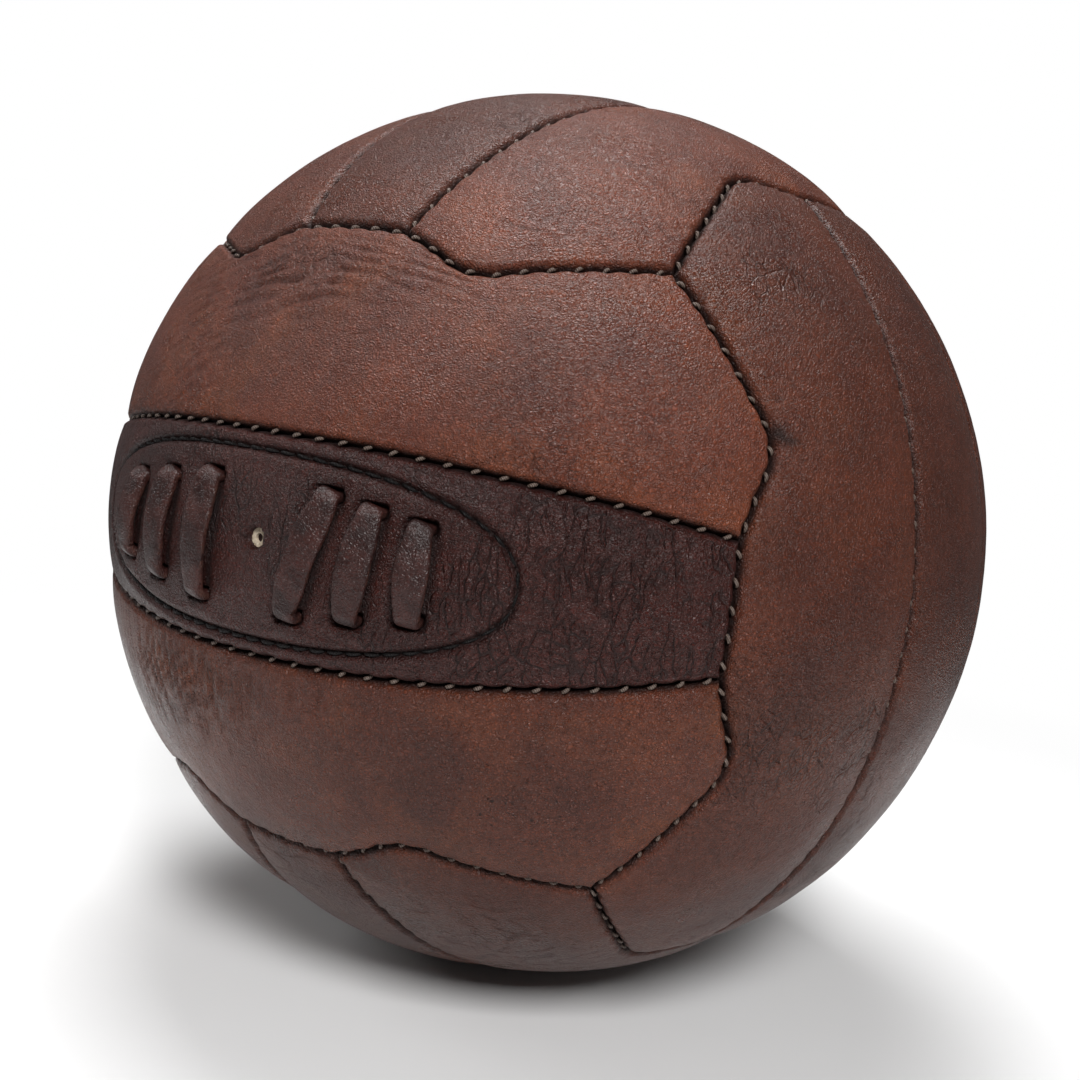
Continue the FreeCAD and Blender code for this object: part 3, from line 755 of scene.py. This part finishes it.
class Nodes:
    """A material's node tree, with short ways to add what the leathers and threads share."""

    def __init__(self, name):
        self.material = bpy.data.materials.new(name)
        self.material.use_nodes = True
        self.tree = self.material.node_tree
        self.shader = self.tree.nodes["Principled BSDF"]
        coords = self.add("ShaderNodeTexCoord")
        scale = self.add("ShaderNodeVectorMath", operation="SCALE")
        self.link(coords.outputs["Object"], scale.inputs[0])
        scale.inputs["Scale"].default_value = 1 / MM
        self.mm = scale.outputs[0]

    def add(self, kind, **settings):
        node = self.tree.nodes.new(kind)
        for key, value in settings.items():
            setattr(node, key, value)
        return node

    def link(self, source, target):
        self.tree.links.new(source, target)

    def put(self, socket, value):
        if isinstance(value, bpy.types.NodeSocket):
            self.link(value, socket)
        else:
            socket.default_value = value

    def attribute(self, name):
        return self.add("ShaderNodeAttribute", attribute_name=name).outputs["Fac"]

    def math(self, operation, *values, clamp=False):
        node = self.add("ShaderNodeMath", operation=operation, use_clamp=clamp)
        for socket, value in zip(node.inputs, values):
            self.put(socket, value)
        return node.outputs[0]

    def times(self, one, two):
        return self.math("MULTIPLY", one, two)

    def larger(self, one, two):
        return self.math("MAXIMUM", one, two)

    def range(self, value, low, high, to_low=0.0, to_high=1.0):
        """The value carried smoothly from one range to another, and clamped to it."""
        node = self.add("ShaderNodeMapRange", interpolation_type="SMOOTHSTEP")
        keys = ("Value", "From Min", "From Max", "To Min", "To Max")
        for key, item in zip(keys, (value, low, high, to_low, to_high)):
            self.put(node.inputs[key], item)
        return node.outputs[0]

    def grey(self, value):
        node = self.add("ShaderNodeCombineColor")
        for socket in node.inputs[:3]:
            self.link(value, socket)
        return node.outputs[0]

    def mix(self, share, one, two, blend="MIX"):
        node = self.add("ShaderNodeMix", data_type="RGBA", blend_type=blend)
        self.put(node.inputs["Factor"], share)
        self.put(node.inputs[6], one)
        self.put(node.inputs[7], two)
        return node.outputs[2]

    def noise(self, per_mm, detail=3.0, rough=0.55, where=None):
        node = self.add("ShaderNodeTexNoise")
        self.link(where or self.mm, node.inputs["Vector"])
        node.inputs["Scale"].default_value = per_mm
        node.inputs["Detail"].default_value = detail
        node.inputs["Roughness"].default_value = rough
        return node.outputs["Fac"]

    def cells(self, per_mm, feature="DISTANCE_TO_EDGE", where=None):
        node = self.add("ShaderNodeTexVoronoi", feature=feature)
        self.link(where or self.mm, node.inputs["Vector"])
        node.inputs["Scale"].default_value = per_mm
        return node.outputs["Distance"]

    def warped(self, per_mm, amount, stretch=(1, 1, 1)):
        """The place in mm, pushed about by noise, then stretched."""
        node = self.add("ShaderNodeTexNoise")
        self.link(self.mm, node.inputs["Vector"])
        node.inputs["Scale"].default_value = per_mm
        node.inputs["Detail"].default_value = 2.0
        shift = self.add("ShaderNodeVectorMath", operation="MULTIPLY_ADD")
        self.link(node.outputs["Color"], shift.inputs[0])
        shift.inputs[1].default_value = (amount,) * 3
        self.link(self.mm, shift.inputs[2])
        squeeze = self.add("ShaderNodeVectorMath", operation="MULTIPLY")
        self.link(shift.outputs[0], squeeze.inputs[0])
        squeeze.inputs[1].default_value = stretch
        return squeeze.outputs[0]

    def bump(self, height, depth_mm, strength=1.0, after=None):
        node = self.add("ShaderNodeBump")
        node.inputs["Strength"].default_value = strength
        node.inputs["Distance"].default_value = depth_mm * MM
        self.link(height, node.inputs["Height"])
        if after is not None:
            self.link(after, node.inputs["Normal"])
        return node.outputs["Normal"]


def leather(name, deep, base, red, warm, gloss, cracked):
    """Pull-up leather: pebble grain, cracks in patches, seam grooves darkened with painted shade, an orange
    burnish.

    The colours run from its darkest to its most rubbed. cracked is how dark the cracks are."""
    m = Nodes(name)
    edge, dark, light, wrinkle = (m.attribute(key) for key in ("edge", "dark", "light", "wrinkle"))
    # grain: small uneven pebbles, with finer ones between
    pebble = m.range(m.cells(1.40, where=m.warped(1.0, 1.3)), 0.0, 0.40)
    fine = m.range(m.cells(1.9, where=m.warped(1.5, 0.6)), 0.0, 0.42)
    # cracks, longer up and down than across, and meandering wrinkles
    tall = m.cells(0.27, where=m.warped(0.13, 6.0, (1.35, 1.35, 0.38)))
    tall = m.range(tall, 0.0, 0.095, 1.0, 0.0)
    close = m.cells(0.52, where=m.warped(0.25, 2.6, (1.1, 1.1, 0.7)))
    close = m.range(close, 0.0, 0.13, 1.0, 0.0)
    ridge = m.noise(0.30, 3.0, 0.6, where=m.warped(0.12, 4.0, (0.8, 0.8, 1.5)))
    meander = m.range(m.math("ABSOLUTE", m.math("SUBTRACT", ridge, 0.5)), 0.0, 0.020, 1.0, 0.0)
    broken = m.range(m.noise(0.13, 2.0), 0.36, 0.50)
    spread = m.times(m.math("SUBTRACT", m.noise(0.07, 2.0), 0.5), 1.2)
    here = m.range(m.math("ADD", wrinkle, spread), 0.30, 0.75)
    cracks = m.times(m.times(m.larger(tall, m.times(close, 0.45)), here), broken)
    lines = m.larger(cracks, m.times(meander, m.range(wrinkle, 0.0, 0.7, 0.15, 0.5)))
    # open pores
    spots = m.range(m.cells(0.62, "F1", where=m.warped(0.7, 1.2)), 0.10, 0.30, 1.0, 0.0)
    some = m.range(m.noise(0.5, 2.0), 0.50, 0.60)
    pores = m.times(m.times(spots, m.attribute("pores")), some)
    # colour
    hide = m.mix(m.range(m.noise(0.045, 5.0, 0.60), 0.30, 0.72), deep, base)
    reddened = m.times(m.attribute("red"), m.range(m.noise(0.030, 4.0), 0.32, 0.70))
    hide = m.mix(reddened, hide, red)
    rubbed = m.times(m.attribute("burn"), m.range(m.noise(0.08, 6.0, 0.62), 0.36, 0.72))
    hide = m.mix(rubbed, hide, warm)
    dusty = tuple(0.6 * c + 0.016 for c in base[:3]) + (1,)
    hide = m.mix(m.times(m.attribute("grey"), 0.3), hide, dusty)
    speckle = m.range(m.noise(0.75, 3.0, 0.6), 0.3, 0.7, 0.80, 1.16)
    shade = m.times(m.times(light, speckle), m.range(pebble, 0.0, 0.7, 0.66, 1.06))
    hide = m.mix(1.0, hide, m.grey(shade), "MULTIPLY")
    # painted shade: near black within 1.25 mm of each seam, down in its groove
    groove = m.range(edge, 0.30, 1.25, 1.0, 0.0)
    # with it, the dark attribute: painted shade in creases, slots, valve and oval groove and beside the laces,
    # plus real stains
    painted_shade_and_marks = m.larger(m.times(groove, 0.95), dark)
    painted_shade_and_marks = m.larger(painted_shade_and_marks, m.times(lines, cracked))
    painted_shade_and_marks = m.larger(painted_shade_and_marks, m.times(pores, 0.85))
    # mixed towards near black by the painted shade, together with stains, cracks and pores
    hide = m.mix(painted_shade_and_marks, hide, tuple(0.14 * c for c in deep[:3]) + (1,))
    m.link(hide, m.shader.inputs["Base Color"])
    # gloss
    polish = m.range(m.noise(0.05, 3.0), 0.35, 0.7, gloss + 0.06, gloss - 0.05)
    rough = m.math("ADD", polish, m.times(painted_shade_and_marks, 0.25), clamp=True)
    m.link(rough, m.shader.inputs["Roughness"])
    m.shader.inputs["Specular IOR Level"].default_value = 0.27
    # relief
    normal = m.bump(pebble, 0.22, 1.0)
    normal = m.bump(fine, 0.05, 1.0, normal)
    normal = m.bump(m.math("SUBTRACT", 1.0, lines), 0.42, 1.0, normal)
    normal = m.bump(m.math("SUBTRACT", 1.0, pores), 0.30, 1.0, normal)
    normal = m.bump(m.noise(0.30, 4.0, 0.6), 0.42, 0.8, normal)
    m.link(normal, m.shader.inputs["Normal"])
    return m.material


LACE_DEEP, LACE_BASE = (0.020, 0.0066, 0.0058, 1), (0.052, 0.0165, 0.0135, 1)
# LACE_DARK serves both the grain's dark lines and the painted shade inside the ball
LACE_WORN, LACE_DARK = (0.085, 0.036, 0.026, 1), (0.008, 0.004, 0.0035, 1)


def lace_leather(name):
    """Dark leather for the laces, worn paler along their edges, and made nearly black inside the ball by
    painted shade.
    """
    m = Nodes(name)
    grain = m.range(m.cells(1.5, where=m.warped(1.1, 0.7)), 0.0, 0.33)
    hide = m.mix(m.range(m.noise(0.22, 5.0, 0.65), 0.36, 0.66), LACE_DEEP, LACE_BASE)
    worn = m.range(m.attribute("across"), 0.86, 1.0)
    worn = m.times(worn, m.range(m.noise(0.5, 3.0), 0.42, 0.62))
    hide = m.mix(m.times(worn, 0.55), hide, LACE_WORN)
    hide = m.mix(m.range(grain, 0.0, 1.0, 0.35, 0.0), hide, LACE_DARK)
    # painted shade: the runs inside the ball, under the panel, darkened nearly to black
    hide = m.mix(m.times(m.attribute("dark"), 0.8), hide, LACE_DARK)
    m.link(hide, m.shader.inputs["Base Color"])
    m.link(m.range(m.noise(0.35, 3.0), 0.3, 0.7, 0.46, 0.34), m.shader.inputs["Roughness"])
    m.shader.inputs["Specular IOR Level"].default_value = 0.30
    normal = m.bump(grain, 0.10, 0.9)
    normal = m.bump(m.noise(0.40, 3.0, 0.55), 0.50, 0.8, normal)
    m.link(normal, m.shader.inputs["Normal"])
    return m.material


def plain(name, colour, other, per_mm, rough, bump_mm, feature="noise"):
    """A two-tone material with its own fine texture, for latex, rubber, the valve's core and the flesh side."""
    m = Nodes(name)
    height = m.cells(per_mm) if feature == "cells" else m.noise(per_mm, 4.0)
    m.link(m.mix(m.range(height, 0.3, 0.7), colour, other), m.shader.inputs["Base Color"])
    m.shader.inputs["Roughness"].default_value = rough
    m.link(m.bump(height, bump_mm, 0.8), m.shader.inputs["Normal"])
    return m.material


def thread(name, colour, other, specular):
    """Twisted, waxed thread: plies wound round it, seen as slanted bands."""
    m = Nodes(name)
    wave = m.add("ShaderNodeTexWave", wave_type="BANDS", bands_direction="DIAGONAL")
    m.link(m.mm, wave.inputs["Vector"])
    wave.inputs["Scale"].default_value = 0.85
    wave.inputs["Distortion"].default_value = 0.6
    ply = wave.outputs["Fac"]
    tone = m.times(ply, m.noise(1.2, 2.0))
    m.link(m.mix(tone, colour, other), m.shader.inputs["Base Color"])
    m.shader.inputs["Roughness"].default_value = 0.5
    m.shader.inputs["Specular IOR Level"].default_value = specular
    m.link(m.bump(ply, 0.10, 0.9), m.shader.inputs["Normal"])
    return m.material


def cloth(name, colour, other):
    """A plain weave for the linings."""
    m = Nodes(name)
    bands = []
    for direction in ("X", "Z"):
        wave = m.add("ShaderNodeTexWave", wave_type="BANDS", bands_direction=direction)
        m.link(m.mm, wave.inputs["Vector"])
        wave.inputs["Scale"].default_value = 0.32
        bands.append(wave.outputs["Fac"])
    weave = m.times(*bands)
    m.link(m.mix(weave, colour, other), m.shader.inputs["Base Color"])
    m.shader.inputs["Roughness"].default_value = 0.9
    m.link(m.bump(weave, 0.15, 0.8), m.shader.inputs["Normal"])
    return m.material


def make_materials():
    return {
        "panel": leather(
            "pull_up_leather", (0.074, 0.0195, 0.0120, 1), (0.122, 0.0340, 0.0185, 1),
            (0.142, 0.0350, 0.0165, 1), (0.190, 0.052, 0.019, 1), 0.30, 0.50,
        ),
        "laced": leather(
            "laced_panel_leather", (0.062, 0.0135, 0.0105, 1), (0.100, 0.0240, 0.0180, 1),
            (0.106, 0.0220, 0.0160, 1), (0.12, 0.030, 0.018, 1), 0.30, 0.78,
        ),
        "lace": lace_leather("lace_thong_leather"),
        "thread": thread("seam_thread", (0.060, 0.040, 0.032, 1), (0.22, 0.17, 0.14, 1), 0.35),
        "black_thread": thread(
            "patch_thread", (0.0045, 0.0040, 0.0042, 1), (0.012, 0.010, 0.010, 1), 0.12,
        ),
        "lining": cloth("lining_cloth", (0.45, 0.41, 0.34, 1), (0.68, 0.64, 0.55, 1)),
        "latex": plain(
            "bladder_latex", (0.020, 0.018, 0.016, 1), (0.034, 0.030, 0.027, 1), 0.25, 0.6, 0.05,
        ),
        "rubber": plain(
            "valve_rubber", (0.014, 0.014, 0.014, 1), (0.024, 0.023, 0.022, 1), 0.8, 0.55, 0.05,
        ),
        "core": plain("valve_core", (0.34, 0.26, 0.18, 1), (0.62, 0.53, 0.41, 1), 1.3, 0.65, 0.2),
        "flesh": plain(
            "flesh_side", (0.20, 0.11, 0.065, 1), (0.30, 0.18, 0.11, 1), 0.9, 0.95, 0.2, "cells",
        ),
        "floor": floor_material(),
    }


# how a CAD node's name ends: its material
CAD_LOOKS = {
    "_lining": "lining", "lace_backing_patch": "flesh", "bladder": "latex",
    "valve_body": "rubber", "valve_core": "core",
}


def dress_cad(materials):
    """The CAD nodes that stay as they are get their own materials."""
    for node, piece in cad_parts.items():
        for ending, kind in CAD_LOOKS.items():
            if node.endswith(ending):
                piece.data.materials.clear()
                piece.data.materials.append(materials[kind])


# ---- studio


AZIMUTH, ELEVATION, ROLL = 33.2, 5.9, 7.2
CAMERA_DISTANCE = 3.28  # in ball radii
LENS = 45.8
SHIFT = (-7.5 / 1080, -7.5 / 1080)
ROOM_LIGHT = 0.09  # how bright the white surroundings are to everything but the camera
FLOOR_SIZE = 6.0
FLOOR_FADE = (0.22, 0.55)  # where the floor starts and ends to fade into the background
FLOOR_DARK, FLOOR_LIGHT = (0.79, 0.79, 0.79, 1), (0.82, 0.82, 0.82, 1)
# name: (place, side of the square, watts)
LIGHTS = {
    "key": ((0.64, -0.70, 0.66), 0.34, 14),
    "left": ((-0.95, -0.45, 0.50), 0.45, 3),
    "top": ((-0.20, 0.10, 1.05), 0.6, 13.5),
}


def floor_material():
    """Pale matt floor that runs out into the white of the background."""
    m = Nodes("studio_floor")
    m.link(m.mix(m.noise(0.02, 3.0), FLOOR_DARK, FLOOR_LIGHT), m.shader.inputs["Base Color"])
    m.shader.inputs["Roughness"].default_value = 0.8
    away = m.add("ShaderNodeVectorMath", operation="LENGTH")
    m.link(m.mm, away.inputs[0])
    white = m.add("ShaderNodeEmission")
    seen = m.add("ShaderNodeLightPath").outputs["Is Camera Ray"]
    m.link(m.range(seen, 0.0, 1.0, ROOM_LIGHT, 1.0), white.inputs["Strength"])
    both = m.add("ShaderNodeMixShader")
    start, end = (distance / MM for distance in FLOOR_FADE)
    m.link(m.range(away.outputs["Value"], start, end), both.inputs[0])
    m.link(m.shader.outputs[0], both.inputs[1])
    m.link(white.outputs[0], both.inputs[2])
    m.link(both.outputs[0], m.tree.nodes["Material Output"].inputs["Surface"])
    return m.material


def add_camera():
    a, e, roll = (math.radians(x) for x in (AZIMUTH, ELEVATION, ROLL))
    back = Vector((math.sin(a) * math.cos(e), -math.cos(a) * math.cos(e), math.sin(e)))
    right0 = Vector((math.cos(a), math.sin(a), 0))
    up0 = back.cross(right0)
    right = right0 * math.cos(roll) + up0 * math.sin(roll)
    up = up0 * math.cos(roll) - right0 * math.sin(roll)
    camera = bpy.data.objects.new("camera", bpy.data.cameras.new("camera"))
    place = Matrix((right, up, back)).transposed().to_4x4()
    place.translation = back * (CAMERA_DISTANCE * BALL_R * MM)
    camera.matrix_world = place
    camera.data.lens = LENS
    camera.data.sensor_width = 36
    camera.data.shift_x, camera.data.shift_y = SHIFT
    camera.data.clip_start = 0.01
    bpy.context.scene.collection.objects.link(camera)
    bpy.context.scene.camera = camera


def add_light(name, where, size, power):
    light = bpy.data.lights.new(name, "AREA")
    light.shape = "RECTANGLE"
    light.size = light.size_y = size
    light.energy = power
    lamp = bpy.data.objects.new(name, light)
    lamp.location = where
    lamp.rotation_euler = (-Vector(where)).to_track_quat("-Z", "Y").to_euler()
    bpy.context.scene.collection.objects.link(lamp)


def add_studio(materials):
    half = FLOOR_SIZE / 2
    corners = [(x * half, y * half, FLOOR_Z) for x, y in ((-1, -1), (1, -1), (1, 1), (-1, 1))]
    mesh = bpy.data.meshes.new("studio_floor")
    mesh.from_pydata(corners, [], [(0, 1, 2, 3)])
    mesh.materials.append(materials["floor"])
    floor = bpy.data.objects.new("studio_floor", mesh)
    bpy.context.scene.collection.objects.link(floor)
    world = bpy.data.worlds.new("studio")
    world.use_nodes = True
    tree = world.node_tree
    seen = tree.nodes.new("ShaderNodeLightPath").outputs["Is Camera Ray"]
    strength = tree.nodes.new("ShaderNodeMapRange")
    strength.inputs["To Min"].default_value = ROOM_LIGHT
    tree.links.new(seen, strength.inputs["Value"])
    tree.nodes["Background"].inputs["Color"].default_value = (1, 1, 1, 1)
    tree.links.new(strength.outputs[0], tree.nodes["Background"].inputs["Strength"])
    bpy.context.scene.world = world
    for name, (where, size, power) in LIGHTS.items():
        add_light(name, where, size, power)
    bpy.context.scene.view_settings.view_transform = "Standard"


# cells across and along a panel's face
LACED_GRID, MIDDLE_GRID, SIDE_GRID = (156, 480), (84, 300), (92, 300)


def add_panels(materials):
    shapes = outlines()
    seed = 1
    for face, (_, _, _, plus, minus) in FACES.items():
        for part, sign in (("middle", 1), (plus, 1), (minus, -1)):
            if part != "middle":
                shape, grid = "side", SIDE_GRID
            else:
                shape, grid = "middle", LACED_GRID if face == "front" else MIDDLE_GRID
            panel(face, part, sign, materials, shapes[shape], *grid, seed)
            seed += 1


materials = make_materials()
add_camera()
add_panels(materials)
add_sewing(materials)
add_laces(materials)
dress_cad(materials)
add_studio(materials)
